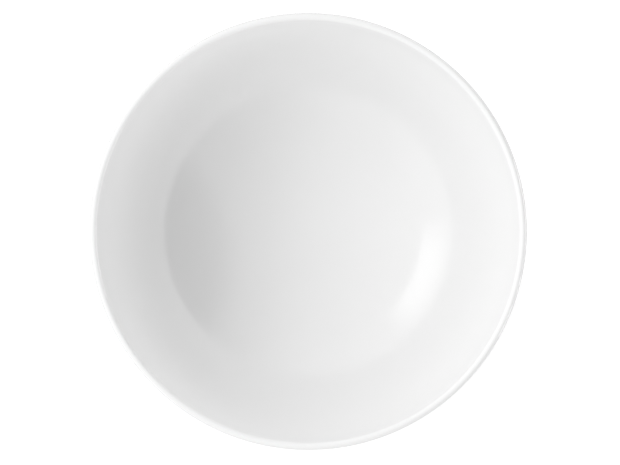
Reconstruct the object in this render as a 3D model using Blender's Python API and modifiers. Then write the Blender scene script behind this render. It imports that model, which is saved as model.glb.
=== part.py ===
"""A round porcelain serving bowl on a foot ring, turned about +Z.

The origin is the middle of the foot's standing face, and sizes are in metres. The body and the foot
ring are fired porcelain. Two coats of glaze cover them and leave the foot's standing edge bare.
The lip, the coves and every coat share their centres, so the coats follow the porcelain evenly.

A profile is a list of complex numbers: the distance from the axis, plus 1j times the height.
"""

import cmath
import math

import bpy

# Overall sizes, over the glaze
BOWL_DIAMETER = 0.230
INSIDE_DEPTH = 0.0735  # from the top of the lip down to the middle of the well
LIP_THICKNESS = 0.0042
FLOOR_THICKNESS = 0.0054  # at the middle of the well
BASE_CLEARANCE = 0.0048  # under the middle of the base

# Foot ring, over the glaze
FOOT_DIAMETER = 0.092
FOOT_WIDTH = 0.0056  # of the ring, where it stands
FOOT_LEAN = math.radians(7)  # each flank leans in towards the standing edge
FOOT_EDGE_RADIUS = 0.0009
COVE_RADIUS = 0.0045  # between a flank and the bowl

# Glaze
GLAZE_THICKNESS = 0.0003
GLAZE_LINE_HEIGHT = 0.0022  # where the glaze stops, above the standing face
FIT_GAP = 0.0003  # left between pieces that touch

# Fineness of the turned shapes
TURNED_STEPS = 56
WALL_STEPS = 10
BASE_STEPS = 5
COVE_STEPS = 5
SMALL_STEPS = 3

DOWN = -math.pi / 2  # the direction of the axis, seen from a centre on it
CLAY_DEPTH = GLAZE_THICKNESS + FIT_GAP  # of the porcelain's face under the glaze's face

# The lip is a half round that touches the arcs of the inside and of the outside.
LIP_RADIUS = LIP_THICKNESS / 2
LIP_OUT = BOWL_DIAMETER / 2 - LIP_RADIUS
WELL_HEIGHT = BASE_CLEARANCE + FLOOR_THICKNESS
LIP_CENTRE = complex(LIP_OUT, WELL_HEIGHT + INSIDE_DEPTH - LIP_RADIUS)

INSIDE_SLOPE = 2 * math.atan(INSIDE_DEPTH / LIP_OUT)  # at the lip
INSIDE_RADIUS = LIP_OUT / math.sin(INSIDE_SLOPE) - LIP_RADIUS
INSIDE_CENTRE = complex(0, WELL_HEIGHT + INSIDE_RADIUS)

LIP_RISE = LIP_CENTRE.imag - BASE_CLEARANCE
OUTSIDE_RADIUS = (LIP_OUT**2 + LIP_RISE**2 - LIP_RADIUS**2) / (2 * (LIP_RISE - LIP_RADIUS))
OUTSIDE_CENTRE = complex(0, BASE_CLEARANCE + OUTSIDE_RADIUS)
OUTSIDE_TOP = cmath.phase(LIP_CENTRE - OUTSIDE_CENTRE)  # the direction in which the lip meets it


def arc(centre, radius, start, end, steps):
    """Points about a centre, from one direction to another."""
    return [centre + cmath.rect(radius, start + (end - start) * i / steps) for i in range(steps + 1)]


def joined(*runs):
    """One profile from runs that each start where the last one ends."""
    profile = [runs[0][0]]
    for run in runs:
        profile += run[1:]
    return profile


class FootSide:
    """One side of the foot ring: a leaning flank, and the cove between it and the bowl's underside.

    The side is 1 for the outside of the ring and -1 for its inside. The distance is the flank's
    from the axis, where it would meet the table.
    """

    def __init__(self, side, distance):
        self.side = side
        self.base = distance
        self.up = cmath.rect(1, math.pi / 2 - side * FOOT_LEAN)
        self.away = self.up / (1j * side)
        self.flank_direction = math.pi / 2 + side * (math.pi / 2 - FOOT_LEAN)

        # The cove's centre is its radius away from the flank's line and from the underside's arc.
        start = self.base + COVE_RADIUS * self.away - OUTSIDE_CENTRE
        along = (start * self.up.conjugate()).real
        reach = OUTSIDE_RADIUS + COVE_RADIUS
        climb = -along - math.sqrt(along**2 - abs(start) ** 2 + reach**2)
        self.cove_centre = OUTSIDE_CENTRE + start + climb * self.up
        self.meeting = cmath.phase(self.cove_centre - OUTSIDE_CENTRE)

    def cove(self, depth):
        """The cove, from the underside to the flank, at a depth under the glaze's face."""
        return arc(
            self.cove_centre,
            COVE_RADIUS + depth,
            self.meeting + math.pi,
            self.flank_direction,
            COVE_STEPS,
        )

    def cove_under(self, bed_radius):
        """The porcelain's cove, from the bed that the body sits on to the flank."""
        reach = OUTSIDE_RADIUS + COVE_RADIUS
        radius = COVE_RADIUS + CLAY_DEPTH
        turn = math.acos((reach**2 + radius**2 - bed_radius**2) / (2 * reach * radius))
        start = self.meeting + math.pi + self.side * turn
        return arc(self.cove_centre, radius, start, self.flank_direction, COVE_STEPS)

    def flank_point(self, depth, height):
        """The point of the flank at a height, at a depth under the glaze's face."""
        climb = (height + depth * self.away.imag) / self.up.imag
        return self.base + climb * self.up - depth * self.away

    def standing_edge(self):
        """The rounded edge of the porcelain, from the flank to the standing face."""
        centre = self.flank_point(CLAY_DEPTH + FOOT_EDGE_RADIUS, FOOT_EDGE_RADIUS)
        return arc(centre, FOOT_EDGE_RADIUS, cmath.phase(self.away), DOWN, SMALL_STEPS)


OUTER_FOOT = FootSide(1, FOOT_DIAMETER / 2)
INNER_FOOT = FootSide(-1, FOOT_DIAMETER / 2 - FOOT_WIDTH)


def inside(depth):
    """The inside, from the middle of the well to the lip."""
    top = DOWN + INSIDE_SLOPE
    return arc(INSIDE_CENTRE, INSIDE_RADIUS + depth, DOWN, top, WALL_STEPS)


def lip(depth):
    """The lip, from the inside over its highest point and its widest point to the outside."""
    start = DOWN + INSIDE_SLOPE + math.pi
    radius = LIP_RADIUS - depth
    return joined(
        arc(LIP_CENTRE, radius, start, -DOWN, SMALL_STEPS),
        arc(LIP_CENTRE, radius, -DOWN, 0, SMALL_STEPS),
        arc(LIP_CENTRE, radius, 0, OUTSIDE_TOP, 1),
    )


def outside(depth, start, end, steps):
    """A stretch of the arc that the outside and the base share."""
    return arc(OUTSIDE_CENTRE, OUTSIDE_RADIUS - depth, start, end, steps)


def body_profile():
    """The bare body: the inside, the lip, the wall, the band over the foot, and the base."""
    return joined(
        inside(CLAY_DEPTH),
        lip(CLAY_DEPTH),
        outside(CLAY_DEPTH, OUTSIDE_TOP, OUTER_FOOT.meeting, WALL_STEPS),
        outside(CLAY_DEPTH, OUTER_FOOT.meeting, INNER_FOOT.meeting, SMALL_STEPS),
        outside(CLAY_DEPTH, INNER_FOOT.meeting, DOWN, BASE_STEPS),
    )


def foot_ring_profile():
    """The foot ring, all the way round: its outside, standing face, inside, and the body's bed."""
    bed_radius = OUTSIDE_RADIUS - CLAY_DEPTH + FIT_GAP
    outer = OUTER_FOOT.cove_under(bed_radius) + OUTER_FOOT.standing_edge()
    inner = INNER_FOOT.cove_under(bed_radius) + INNER_FOOT.standing_edge()
    bed = arc(
        OUTSIDE_CENTRE,
        bed_radius,
        cmath.phase(inner[0] - OUTSIDE_CENTRE),
        cmath.phase(outer[0] - OUTSIDE_CENTRE),
        SMALL_STEPS,
    )
    return outer + inner[::-1] + bed[1:-1]


def coat_face(depth):
    """The main coat's face, from the middle of the well over the lip and down to the glaze line."""
    return joined(
        inside(depth),
        lip(depth),
        outside(depth, OUTSIDE_TOP, OUTER_FOOT.meeting, WALL_STEPS),
        OUTER_FOOT.cove(depth),
    ) + [OUTER_FOOT.flank_point(depth, GLAZE_LINE_HEIGHT)]


def base_face(depth):
    """The base's coat, from the middle of the base out to the glaze line inside the foot ring."""
    return joined(
        outside(depth, DOWN, INNER_FOOT.meeting, BASE_STEPS),
        INNER_FOOT.cove(depth),
    ) + [INNER_FOOT.flank_point(depth, GLAZE_LINE_HEIGHT)]


def finish(name, colour, roughness, gloss_coat):
    """A ceramic material, whose gloss coat is 1 under glaze and 0 on bare porcelain."""
    material = bpy.data.materials.new(name)
    material.use_nodes = True
    shader = material.node_tree.nodes["Principled BSDF"]
    shader.inputs["Base Color"].default_value = (*colour, 1)
    shader.inputs["Roughness"].default_value = roughness
    shader.inputs["Metallic"].default_value = 0
    shader.inputs["Coat Weight"].default_value = gloss_coat
    material.diffuse_color = (*colour, 1)
    return material


def turned(name, profile, material, is_ring=False):
    """A piece turned from a profile that runs down its outer side. A ring's profile closes on itself."""
    last = len(profile) - 1
    edges = [(i, i + 1) for i in range(last)]
    if is_ring:
        edges.append((last, 0))
    mesh = bpy.data.meshes.new(name)
    mesh.from_pydata([(point.real, 0, point.imag) for point in profile], edges, [])
    mesh.materials.append(material)
    piece = bpy.data.objects.new(name, mesh)
    bowl.objects.link(piece)

    screw = piece.modifiers.new("Turned", "SCREW")
    screw.axis = "Z"
    screw.angle = 2 * math.pi
    screw.steps = TURNED_STEPS
    screw.render_steps = TURNED_STEPS
    screw.use_merge_vertices = True
    screw.merge_threshold = 0.00001
    screw.use_smooth_shade = True
    return piece


for old_object in list(bpy.data.objects):
    bpy.data.objects.remove(old_object, do_unlink=True)

bowl = bpy.data.collections.new("porcelain_serving_bowl")
bpy.context.scene.collection.children.link(bowl)

biscuit_porcelain = finish("biscuit_porcelain", (0.86, 0.84, 0.80), 0.6, 0)
ground_porcelain = finish("ground_porcelain", (0.84, 0.81, 0.76), 0.7, 0)
white_glaze = finish("white_glaze", (0.88, 0.88, 0.87), 0.12, 1)
pooled_glaze = finish("pooled_glaze", (0.87, 0.87, 0.85), 0.12, 1)

turned("porcelain_body", body_profile(), biscuit_porcelain)
turned("foot_ring", foot_ring_profile(), ground_porcelain, is_ring=True)
turned("glaze_coat", coat_face(0) + coat_face(GLAZE_THICKNESS)[::-1], white_glaze)
turned("base_glaze", base_face(GLAZE_THICKNESS) + base_face(0)[::-1], pooled_glaze)
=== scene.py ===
"""A white porcelain serving bowl, glazed inside and out, standing on its bare foot ring."""

import cmath
import math

import bpy
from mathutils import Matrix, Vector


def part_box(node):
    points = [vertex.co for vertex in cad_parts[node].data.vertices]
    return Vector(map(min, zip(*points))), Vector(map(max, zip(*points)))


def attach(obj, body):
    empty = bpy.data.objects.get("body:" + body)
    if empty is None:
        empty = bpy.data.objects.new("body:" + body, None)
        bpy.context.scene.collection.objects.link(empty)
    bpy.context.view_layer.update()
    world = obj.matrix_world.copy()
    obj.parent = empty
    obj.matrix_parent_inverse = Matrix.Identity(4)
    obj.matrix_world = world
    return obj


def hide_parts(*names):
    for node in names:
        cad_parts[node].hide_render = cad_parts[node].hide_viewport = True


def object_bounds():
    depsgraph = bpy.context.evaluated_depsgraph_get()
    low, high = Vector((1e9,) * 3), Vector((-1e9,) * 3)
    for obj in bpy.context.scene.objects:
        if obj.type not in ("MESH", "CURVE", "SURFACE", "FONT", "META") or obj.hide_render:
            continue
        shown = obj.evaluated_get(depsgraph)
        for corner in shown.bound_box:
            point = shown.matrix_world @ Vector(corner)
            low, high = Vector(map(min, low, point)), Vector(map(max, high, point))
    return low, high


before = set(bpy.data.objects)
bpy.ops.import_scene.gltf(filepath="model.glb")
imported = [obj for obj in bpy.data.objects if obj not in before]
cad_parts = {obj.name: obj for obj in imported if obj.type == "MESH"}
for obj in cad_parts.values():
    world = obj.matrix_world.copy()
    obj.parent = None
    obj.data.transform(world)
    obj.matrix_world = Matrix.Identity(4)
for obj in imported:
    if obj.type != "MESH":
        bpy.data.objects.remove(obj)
cad_low, cad_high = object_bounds()

# ---------------------------------------------------------------------------------------------
# The porcelain body: one bowl of white hard porcelain, turned on a wheel with a template that
# gives it a round inside, and fired once before it is glazed. The glaze hides all of it, so its
# bare, slightly grainy surface shows nowhere. It carries the coats of glaze and the foot ring.
# ---------------------------------------------------------------------------------------------

# Profiles are lists of complex numbers: the distance from the axis, plus 1j times the height.
DOWN = -math.pi / 2
GLAZE = 0.0003
SEAM = 0.00002  # left between faces that touch
CLAY = GLAZE + SEAM  # the porcelain's face lies this far under the glaze's face
KILN_WARP = 0.00006  # how far firing has pulled the lip out of round
WHEEL_STEPS = 224

BOWL_RADIUS = cad_high.x - KILN_WARP
LIP_TOP = cad_high.z - KILN_WARP
LIP_ROUND = 0.0021  # the lip is a full round of twice this thickness
BASE_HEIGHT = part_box("porcelain_body")[0].z - 2 * GLAZE  # of the glazed base's middle
FLOOR_THICKNESS = 0.0054

lip_distance = BOWL_RADIUS - LIP_ROUND
lip_centre = complex(lip_distance, LIP_TOP - LIP_ROUND)
well_height = BASE_HEIGHT + FLOOR_THICKNESS
inside_slope = 2 * math.atan((LIP_TOP - well_height) / lip_distance)
inside_round = lip_distance / math.sin(inside_slope) - LIP_ROUND
inside_centre = complex(0, well_height + inside_round)

lip_rise = lip_centre.imag - BASE_HEIGHT
outside_round = (lip_distance**2 + lip_rise**2 - LIP_ROUND**2) / (2 * (lip_rise - LIP_ROUND))
outside_centre = complex(0, BASE_HEIGHT + outside_round)
outside_top = cmath.phase(lip_centre - outside_centre)


def sweep(centre, radius, start, end, steps):
    """Points of an arc about a centre, from one direction to another."""
    return [centre + cmath.rect(radius, start + (end - start) * i / steps) for i in range(steps + 1)]


def chain(*runs):
    """One profile from runs that each start where the last one ends."""
    profile = [runs[0][0]]
    for run in runs:
        profile += run[1:]
    return profile


def inside_and_lip(depth):
    """From the middle of the well up the inside and over the lip, a depth under the glaze's face."""
    top = DOWN + inside_slope
    return chain(
        sweep(inside_centre, inside_round + depth, DOWN, top, 52),
        sweep(lip_centre, LIP_ROUND - depth, top + math.pi, outside_top, 20),
    )


def outside_wall(depth, start, end, steps):
    """A stretch of the one arc that the outside and the base share."""
    return sweep(outside_centre, outside_round - depth, start, end, steps)


def turn_on_wheel(name, profile, is_ring=False):
    """Turns a profile, which runs down its outer side, into a closed mesh about the bowl's axis."""
    last = len(profile) - 1
    edges = [(i, i + 1) for i in range(last)]
    if is_ring:
        edges.append((last, 0))
    outline = bpy.data.meshes.new(name + "_outline")
    outline.from_pydata([(point.real, 0, point.imag) for point in profile], edges, [])
    blank = bpy.data.objects.new(name + "_blank", outline)
    bpy.context.scene.collection.objects.link(blank)
    screw = blank.modifiers.new("Wheel", "SCREW")
    screw.steps = WHEEL_STEPS
    screw.render_steps = WHEEL_STEPS
    screw.use_merge_vertices = True
    screw.merge_threshold = 0.000001

    turned = bpy.data.meshes.new_from_object(blank.evaluated_get(bpy.context.evaluated_depsgraph_get()))
    bpy.data.objects.remove(blank)
    bpy.data.meshes.remove(outline)
    turned.name = name
    turned.shade_smooth()
    turned.set_sharp_from_angle(angle=math.radians(50))
    piece = bpy.data.objects.new(name, turned)
    bpy.context.scene.collection.objects.link(piece)
    return piece


def warp_in_kiln(piece):
    """Pulls a piece slightly out of round, more towards the lip, as the fire does."""
    for vertex in piece.data.vertices:
        x, y, z = vertex.co
        around = math.atan2(y, x)
        share = (max(z, 0) / LIP_TOP) ** 2
        grow = 1 + KILN_WARP / BOWL_RADIUS * share * math.cos(2 * around + 0.6)
        lift = KILN_WARP * share * math.cos(3 * around - 0.9)
        vertex.co = (x * grow, y * grow, z + lift)


def add_node(tree, kind, inputs=(), **settings):
    """A shader node with its settings, and its inputs as values or as links from other nodes."""
    node = tree.nodes.new(kind)
    for name, value in settings.items():
        setattr(node, name, value)
    for key, value in dict(inputs).items():
        if isinstance(value, bpy.types.NodeSocket):
            tree.links.new(value, node.inputs[key])
        else:
            node.inputs[key].default_value = value
    return node


def new_finish(name):
    """An empty finish: its node tree, its shader, and the object's own coordinates."""
    finish = bpy.data.materials.new(name)
    finish.use_nodes = True
    tree = finish.node_tree
    shader = tree.nodes["Principled BSDF"]
    place = add_node(tree, "ShaderNodeTexCoord").outputs["Object"]
    return finish, tree, shader, place


def grain(tree, place, scale, detail=3.0):
    """A cloudy pattern from 0 to 1, with a scale in clouds to the metre."""
    return add_node(
        tree,
        "ShaderNodeTexNoise",
        {"Vector": place, "Scale": scale, "Detail": detail},
    ).outputs["Fac"]


def stretch(tree, value, low, high, new_low=0.0, new_high=1.0):
    """A value moved from one range to another, easing in and out, and held at both ends."""
    return add_node(
        tree,
        "ShaderNodeMapRange",
        {0: value, 1: low, 2: high, 3: new_low, 4: new_high},
        interpolation_type="SMOOTHSTEP",
    ).outputs[0]


def blend_colours(tree, share, first, second):
    """Two colours mixed by a share from 0 to 1. Each is a colour or another node's output."""
    mix = add_node(tree, "ShaderNodeMix", data_type="RGBA")
    for socket, value in ((mix.inputs[0], share), (mix.inputs[6], first), (mix.inputs[7], second)):
        if isinstance(value, bpy.types.NodeSocket):
            tree.links.new(value, socket)
        else:
            socket.default_value = value
    return mix.outputs[2]


def bare_porcelain(name, light, dark, grain_height):
    """Unglazed porcelain: matt and fine-grained, cream where the fire has toasted it."""
    finish, tree, shader, place = new_finish(name)
    toasting = stretch(tree, grain(tree, place, 38.0), 0.35, 0.7)
    colour = blend_colours(tree, toasting, light, dark)
    tree.links.new(colour, shader.inputs["Base Color"])
    fine = grain(tree, place, 2600.0, detail=6.0)
    tree.links.new(stretch(tree, fine, 0.2, 0.8, 0.62, 0.8), shader.inputs["Roughness"])
    bump = add_node(tree, "ShaderNodeBump", {"Strength": 1.0, "Distance": grain_height, "Height": fine})
    tree.links.new(bump.outputs[0], shader.inputs["Normal"])
    shader.inputs["IOR"].default_value = 1.5
    return finish


porcelain_body = turn_on_wheel(
    "turned_body",
    chain(inside_and_lip(CLAY), outside_wall(CLAY, outside_top, DOWN, 60)),
)
warp_in_kiln(porcelain_body)
porcelain_body.data.materials.append(
    bare_porcelain("biscuit_porcelain", (0.80, 0.785, 0.75, 1), (0.77, 0.75, 0.705, 1), 0.00002)
)
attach(porcelain_body, "root")
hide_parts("porcelain_body")

# ---------------------------------------------------------------------------------------------
# The foot ring: a low ring of the same porcelain under the body, with leaning flanks and a small
# cove to the wall. It is wiped clean of glaze so that it can't stick to the kiln shelf, and its
# standing edge is ground flat after firing.
# ---------------------------------------------------------------------------------------------

FOOT_RADIUS = 0.046  # of the glazed outer flank at the table
FOOT_WIDTH = 0.0056
FOOT_LEAN = math.radians(7)
FOOT_EDGE = 0.0008  # the round at each side of the standing edge
COVE = 0.0045


class FootSide:
    """A flank of the foot ring with the cove above it. The side is 1 outside and -1 inside."""

    def __init__(self, side, distance):
        self.side = side
        self.base = distance
        self.up = cmath.rect(1, math.pi / 2 - side * FOOT_LEAN)
        self.away = self.up / (1j * side)
        self.flank = math.pi / 2 + side * (math.pi / 2 - FOOT_LEAN)
        start = self.base + COVE * self.away - outside_centre
        along = (start * self.up.conjugate()).real
        climb = -along - math.sqrt(along**2 - abs(start) ** 2 + (outside_round + COVE) ** 2)
        self.cove_centre = outside_centre + start + climb * self.up
        self.meeting = cmath.phase(self.cove_centre - outside_centre)

    def cove(self, depth, turn=0.0, steps=14):
        """The cove down to the flank. The turn shortens its top, where the porcelain meets the body."""
        start = self.meeting + math.pi + self.side * turn
        return sweep(self.cove_centre, COVE + depth, start, self.flank, steps)

    def flank_point(self, depth, height):
        climb = (height + depth * self.away.imag) / self.up.imag
        return self.base + climb * self.up - depth * self.away

    def standing_edge(self):
        centre = self.flank_point(CLAY + FOOT_EDGE, FOOT_EDGE)
        return sweep(centre, FOOT_EDGE, cmath.phase(self.away), DOWN, 8)


outer_foot = FootSide(1, FOOT_RADIUS)
inner_foot = FootSide(-1, FOOT_RADIUS - FOOT_WIDTH)


def ring_profile():
    """The foot ring all the way round, down its outside, over the table and up its inside."""
    bed = outside_round - CLAY + SEAM
    reach, radius = outside_round + COVE, COVE + CLAY
    turn = math.acos((reach**2 + radius**2 - bed**2) / (2 * reach * radius))
    outer = outer_foot.cove(CLAY, turn) + outer_foot.standing_edge()
    inner = inner_foot.cove(CLAY, turn) + inner_foot.standing_edge()
    start, end = (cmath.phase(side[0] - outside_centre) for side in (inner, outer))
    return outer + inner[::-1] + sweep(outside_centre, bed, start, end, 6)[1:-1]


def ground_porcelain():
    """Bare porcelain with the fine rings that the grinding wheel leaves on the standing edge."""
    finish = bare_porcelain("ground_porcelain", (0.79, 0.765, 0.715, 1), (0.74, 0.70, 0.635, 1), 0.000012)
    tree = finish.node_tree
    shader = tree.nodes["Principled BSDF"]
    place = tree.nodes["Texture Coordinate"].outputs["Object"]
    rings = add_node(
        tree,
        "ShaderNodeTexWave",
        {"Vector": place, "Scale": 420.0, "Distortion": 1.5, "Detail": 2.0, "Detail Scale": 60.0},
        wave_type="RINGS",
        rings_direction="Z",
    ).outputs["Fac"]
    grained = shader.inputs["Normal"].links[0].from_socket
    bump = add_node(
        tree,
        "ShaderNodeBump",
        {"Strength": 1.0, "Distance": 0.000006, "Height": rings, "Normal": grained},
    )
    tree.links.new(bump.outputs[0], shader.inputs["Normal"])
    return finish


foot_ring = turn_on_wheel("ground_foot_ring", ring_profile(), is_ring=True)
foot_ring.data.materials.append(ground_porcelain())
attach(foot_ring, "root")
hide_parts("foot_ring")

# ---------------------------------------------------------------------------------------------
# The main coat of glaze: clear, hard and glossy, dipped on and fired in one skin from the middle
# of the well over the lip and down to a line on the foot's outside. Its colour is painted lighter up
# the wall as painted light, and it ends in a small rounded bead.
# ---------------------------------------------------------------------------------------------

GLAZE_LINE = 0.0022  # where the coats end, above the table
BEAD_SWELL = 0.00004  # how far the bead stands out of the glaze's face
PAINTED_LIGHT_FROM, PAINTED_LIGHT_TO = 0.30, 0.92  # painted light: where the glaze's colour lightens up the wall, as shares of the bowl's height


def bead(side):
    """The rounded end of a coat on a flank, from its outer face round to the porcelain."""
    radius = (GLAZE + BEAD_SWELL) / 2
    centre = side.flank_point(GLAZE - radius, GLAZE_LINE + radius)
    out = cmath.phase(side.away)
    return sweep(centre, radius, out + 0.5 * side.side, out - math.pi * side.side, 10)


def glaze_finish(name, first_low, second_low, high):
    """Glossy glaze over white porcelain. Low down it drifts between two colours; up the wall it is
    painted lighter towards the last colour, as painted light.
    """
    finish, tree, shader, place = new_finish(name)
    height = add_node(tree, "ShaderNodeSeparateXYZ", {0: place}).outputs["Z"]

    drift = stretch(tree, grain(tree, place, 13.0, detail=2.0), 0.3, 0.7)
    colour = blend_colours(tree, drift, first_low, second_low)
    # Painted light: the colour is lighter up the wall, standing in for light on the upper wall.
    painted_light_up_wall = stretch(tree, height, PAINTED_LIGHT_FROM * LIP_TOP, PAINTED_LIGHT_TO * LIP_TOP)
    colour = blend_colours(tree, painted_light_up_wall, colour, high)
    tree.links.new(colour, shader.inputs["Base Color"])

    ripple = grain(tree, place, 210.0, detail=1.5)
    lathe_rings = add_node(
        tree,
        "ShaderNodeTexWave",
        {"Vector": place, "Scale": 55.0, "Distortion": 2.0, "Detail": 2.0, "Detail Scale": 20.0},
        wave_type="RINGS",
        rings_direction="Z",
    ).outputs["Fac"]
    skin = add_node(tree, "ShaderNodeBump", {"Strength": 1.0, "Distance": 0.000004, "Height": ripple})
    skin = add_node(
        tree,
        "ShaderNodeBump",
        {"Strength": 1.0, "Distance": 0.0000012, "Height": lathe_rings, "Normal": skin.outputs[0]},
    )
    tree.links.new(skin.outputs[0], shader.inputs["Normal"])
    tree.links.new(skin.outputs[0], shader.inputs["Coat Normal"])
    satin = stretch(tree, grain(tree, place, 90.0), 0.3, 0.7, 0.13, 0.17)
    tree.links.new(satin, shader.inputs["Roughness"])
    shader.inputs["IOR"].default_value = 1.55
    shader.inputs["Coat Weight"].default_value = 1.0
    shader.inputs["Coat Roughness"].default_value = 0.08
    shader.inputs["Coat IOR"].default_value = 1.55
    return finish


def main_coat_face(depth):
    return chain(
        inside_and_lip(depth),
        outside_wall(depth, outside_top, outer_foot.meeting, 40),
        outer_foot.cove(depth),
    )


glaze_coat = turn_on_wheel(
    "main_glaze",
    main_coat_face(0) + bead(outer_foot) + main_coat_face(GLAZE)[::-1],
)
warp_in_kiln(glaze_coat)
# The last colour is painted light, which the glaze lightens to up the wall.
glaze_coat.data.materials.append(
    glaze_finish(
        "white_glaze", (0.846, 0.846, 0.846, 1), (0.834, 0.834, 0.834, 1), (0.884, 0.884, 0.884, 1)
    )
)
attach(glaze_coat, "root")
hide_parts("glaze_coat")

# ---------------------------------------------------------------------------------------------
# The base's coat of glaze: the patch inside the foot ring, from the middle of the base out to
# the same line on the ring's inside. The glaze pools here a little thicker and cooler.
# ---------------------------------------------------------------------------------------------


def base_coat_face(depth):
    return chain(
        outside_wall(depth, DOWN, inner_foot.meeting, 24),
        inner_foot.cove(depth),
    )


base_glaze = turn_on_wheel(
    "base_glaze_patch",
    base_coat_face(GLAZE) + bead(inner_foot)[::-1] + base_coat_face(0)[::-1],
)
base_glaze.data.materials.append(
    glaze_finish(
        "pooled_glaze", (0.835, 0.838, 0.835, 1), (0.81, 0.818, 0.815, 1), (0.84, 0.84, 0.838, 1)
    )
)
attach(base_glaze, "root")
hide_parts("base_glaze")

# ---------------------------------------------------------------------------------------------
# The table: a wide sheet of white card under the bowl. It reads as pure white where it is seen,
# and a painted reflection makes it pale where the glaze mirrors it; it lights the bowl only as
# much as plain card does.
# ---------------------------------------------------------------------------------------------

CARD_SHEEN = 0.54  # brightness added to the card where it is seen directly
CARD_PAINTED_REFLECTION = 0.27  # painted reflection: brightness added to the card only where the glaze mirrors it


def arithmetic(tree, operation, first, second):
    return add_node(tree, "ShaderNodeMath", {0: first, 1: second}, operation=operation).outputs[0]


def seen_directly(tree):
    """1 where the eye meets a thing directly, and 0 elsewhere."""
    return add_node(tree, "ShaderNodeLightPath").outputs["Is Camera Ray"]


def seen_in_gloss(tree):
    """1 where a glossy surface mirrors a thing, and 0 elsewhere."""
    return add_node(tree, "ShaderNodeLightPath").outputs["Is Glossy Ray"]


bpy.ops.mesh.primitive_plane_add(size=14)
table = bpy.context.object
table.name = "white_table"
card, card_tree, card_shader, card_place = new_finish("white_card")
card_colour = blend_colours(
    card_tree, grain(card_tree, card_place, 6.0), (0.63, 0.63, 0.63, 1), (0.61, 0.61, 0.61, 1)
)
card_tree.links.new(card_colour, card_shader.inputs["Base Color"])
card_shader.inputs["Roughness"].default_value = 0.9
card_shader.inputs["Specular IOR Level"].default_value = 0.1
card_shader.inputs["Emission Color"].default_value = (1, 1, 1, 1)
sheen = arithmetic(card_tree, "MULTIPLY", seen_directly(card_tree), CARD_SHEEN)
# Painted reflection: the glaze mirrors the card brighter than the card lights anything.
painted_reflection = arithmetic(card_tree, "MULTIPLY", seen_in_gloss(card_tree), CARD_PAINTED_REFLECTION)
card_glow = arithmetic(card_tree, "ADD", sheen, painted_reflection)
card_tree.links.new(card_glow, card_shader.inputs["Emission Strength"])
table.data.materials.append(card)

# ---------------------------------------------------------------------------------------------
# The light: a white studio tent, dim at the right, with a soft box sewn into its left side that
# the glaze mirrors at the right, and a wide, low soft box at the right.
# ---------------------------------------------------------------------------------------------

TENT_LOW = 1.2  # brightness of the tent near the table
TENT_OVERHEAD = 0.08  # added overhead
LEFT_BOX = 1.0  # added by the soft box at the left
LEFT_BOX_AZIMUTH = 159
LEFT_BOX_SPREAD = 31, 2  # to each side: where it ends, and where it is at its brightest
LEFT_BOX_FOOT = 10, 26  # the elevations over which it fades in
LEFT_BOX_TOP = 31.9, 29.9  # its soft upper edge, from the outside in


def direction(azimuth, elevation):
    """A unit vector. The azimuth is in degrees from the right, towards the back."""
    a, e = math.radians(azimuth), math.radians(elevation)
    return (math.cos(a) * math.cos(e), math.sin(a) * math.cos(e), math.sin(e))


def facing(tree, looking, way, edge, heart):
    """1 within the heart angle of a direction, easing to 0 at the edge angle, in degrees."""
    cosine = add_node(
        tree, "ShaderNodeVectorMath", {0: looking, 1: way}, operation="DOT_PRODUCT"
    ).outputs["Value"]
    return stretch(tree, cosine, math.cos(math.radians(edge)), math.cos(math.radians(heart)))


def above(tree, height, foot, top):
    """0 below an elevation and 1 above another, in degrees."""
    return stretch(tree, height, math.sin(math.radians(foot)), math.sin(math.radians(top)))


tent = bpy.data.worlds.new("studio_tent")
bpy.context.scene.world = tent
tent.use_nodes = True
tent_tree = tent.node_tree
looking = add_node(tent_tree, "ShaderNodeTexCoord").outputs["Generated"]
height = add_node(tent_tree, "ShaderNodeSeparateXYZ", {0: looking}).outputs["Z"]
cloth = arithmetic(tent_tree, "MULTIPLY", height, TENT_OVERHEAD)
cloth = arithmetic(tent_tree, "ADD", cloth, TENT_LOW)

# The dim parts of the tent: the middle of each, its edge and heart angles, and how dim it is.
DIM_PARTS = (
    (direction(-7, 0), 103, 38, 0.6),
    (direction(8, 12), 44, 24, 1.0),
)
for way, edge, heart, depth in DIM_PARTS:
    shade = arithmetic(tent_tree, "MULTIPLY", facing(tent_tree, looking, way, edge, heart), depth)
    cloth = arithmetic(tent_tree, "MULTIPLY", cloth, arithmetic(tent_tree, "SUBTRACT", 1.0, shade))

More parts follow.
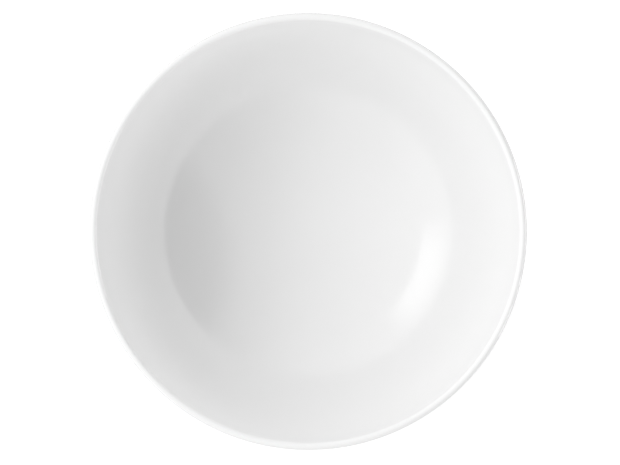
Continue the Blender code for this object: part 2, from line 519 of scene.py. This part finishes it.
box_light = arithmetic(
    tent_tree,
    "MULTIPLY",
    above(tent_tree, height, *LEFT_BOX_FOOT),
    above(tent_tree, height, *LEFT_BOX_TOP),
)
level = add_node(
    tent_tree, "ShaderNodeVectorMath", {0: looking, 1: (1, 1, 0)}, operation="MULTIPLY"
).outputs["Vector"]
level = add_node(tent_tree, "ShaderNodeVectorMath", {0: level}, operation="NORMALIZE").outputs["Vector"]
sideways = facing(tent_tree, level, direction(LEFT_BOX_AZIMUTH, 0), *LEFT_BOX_SPREAD)
box_light = arithmetic(tent_tree, "MULTIPLY", box_light, sideways)
box_light = arithmetic(tent_tree, "MULTIPLY", box_light, LEFT_BOX)
cloth = arithmetic(tent_tree, "ADD", cloth, box_light)
cloth = arithmetic(tent_tree, "MAXIMUM", cloth, seen_directly(tent_tree))
background = tent_tree.nodes["Background"]
background.inputs["Color"].default_value = (1, 1, 1, 1)
tent_tree.links.new(cloth, background.inputs["Strength"])

LOW_BOX = 3.6, 0.56  # width and height
LOW_BOX_BRIGHTNESS = 6.8
LOW_BOX_WAY = direction(-5, 8.4)
LOW_BOX_DISTANCE = 4

low_box = bpy.data.lights.new("low_right_soft_box", "AREA")
low_box.shape = "RECTANGLE"
low_box.size, low_box.size_y = LOW_BOX
low_box.energy = LOW_BOX_BRIGHTNESS * math.pi * LOW_BOX[0] * LOW_BOX[1]
low_box_stand = bpy.data.objects.new("low_right_soft_box", low_box)
bpy.context.scene.collection.objects.link(low_box_stand)
low_box_stand.location = [LOW_BOX_DISTANCE * part for part in LOW_BOX_WAY]
low_box_stand.rotation_euler = (-low_box_stand.location).to_track_quat("-Z", "Y").to_euler()
low_box_stand.visible_camera = False

# ---------------------------------------------------------------------------------------------
# The camera looks straight down into the bowl from a little over a metre above the lip.
# ---------------------------------------------------------------------------------------------

CAMERA_RISE = 1.25  # above the lip
CAMERA_OFFSET = 0.00095, -0.00053  # from the bowl's axis
VIEW_WIDTH = 0.3256  # of the view, at the height of the lip
SENSOR_WIDTH = 36  # in millimetres

camera_data = bpy.data.cameras.new("camera")
camera = bpy.data.objects.new("camera", camera_data)
bpy.context.scene.collection.objects.link(camera)
bpy.context.scene.camera = camera
camera_data.sensor_width = SENSOR_WIDTH
camera_data.lens = SENSOR_WIDTH * CAMERA_RISE / VIEW_WIDTH
camera_data.clip_end = 50
camera.location = (*CAMERA_OFFSET, LIP_TOP + CAMERA_RISE)

bpy.context.scene.view_settings.view_transform = "Standard"
bpy.context.scene.view_settings.look = "None"
